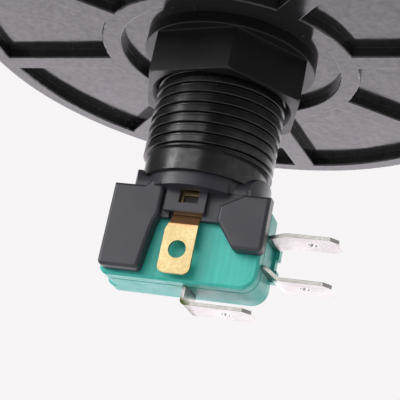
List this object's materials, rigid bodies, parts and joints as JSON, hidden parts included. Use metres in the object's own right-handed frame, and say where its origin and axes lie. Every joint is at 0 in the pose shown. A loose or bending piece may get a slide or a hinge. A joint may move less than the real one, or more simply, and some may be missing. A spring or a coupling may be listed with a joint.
{
  "type": "dome push button",
  "caption": "Lit dome push button for a panel: ribbed round base, threaded stem with flange nut, wedge lamp holder and a snap-action switch with push-on blade terminals.",
  "frame": {"origin": "centre of the panel hole, in the plane of the base's underside, which sits on the panel", "axes": "+Z out of the panel towards the dome, +X along the switch towards its side terminals, -Y the side of the holder's arms and the front lamp tab"},
  "size_m": [0.1, 0.1, 0.0932],
  "materials": {
    "base_black": "moulded, glossy",
    "ring_black": "moulded, glossy",
    "nut_black": "moulded, satin",
    "holder_black": "moulded, fine spark-eroded texture",
    "dome_red": "translucent, polished",
    "plunger_white": "moulded",
    "spring_steel": "drawn wire",
    "strip_brass": "rolled strip",
    "lamp_clear": "moulded",
    "board_white": "printed board",
    "chip_yellow": "moulded chip",
    "switch_teal": "moulded, satin",
    "pin_black": "moulded",
    "terminal_tin": "stamped and tin-plated",
    "contact_metal": "turned",
    "blade_bronze": "rolled strip"
  },
  "bodies": {
    "housing": {"base_housing": "base_black", "trim_ring": "ring_black", "flange_nut": "nut_black", "lamp_holder": "holder_black", "return_spring": "spring_steel", "lamp_contact_front": "strip_brass", "lamp_contact_rear": "strip_brass", "lamp_base": "lamp_clear", "lamp_leads": "contact_metal", "led_board": "board_white", "led_chips": "chip_yellow", "switch_case": "switch_teal", "switch_cover": "switch_teal", "upper_terminal": "terminal_tin", "lower_terminal": "terminal_tin", "common_terminal": "terminal_tin", "upper_contact": "contact_metal", "lower_contact": "contact_metal"},
    "button": {"dome_lens": "dome_red", "plunger": "plunger_white"},
    "pin": {"switch_pin": "pin_black"},
    "blade": {"contact_blade": "blade_bronze", "snap_spring": "blade_bronze", "moving_contact": "contact_metal"}
  },
  "joints": [
    {"name": "button_press", "type": "slide", "parent": "housing", "child": "button", "axis": [0, 0, -1], "range_m": [0, 0.003], "stiffness_N_per_m": 400, "springref_m": -0.006, "deforming": ["return_spring"]},
    {"name": "pin_press", "type": "slide", "parent": "housing", "child": "pin", "axis": [0, 0, -1], "range_m": [0, 0.00131]},
    {"name": "blade_rock", "type": "hinge", "parent": "housing", "child": "blade", "pos_m": [-0.0116, 0, -0.0359], "axis": [0, 1, 0], "range_deg": [0, 4.04]}
  ],
  "couplings": [
    {"joint": "pin_press", "follows": "button_press", "ratio": 0.43563},
    {"joint": "blade_rock", "follows": "button_press", "rad_per_m": 23.504}
  ]
}
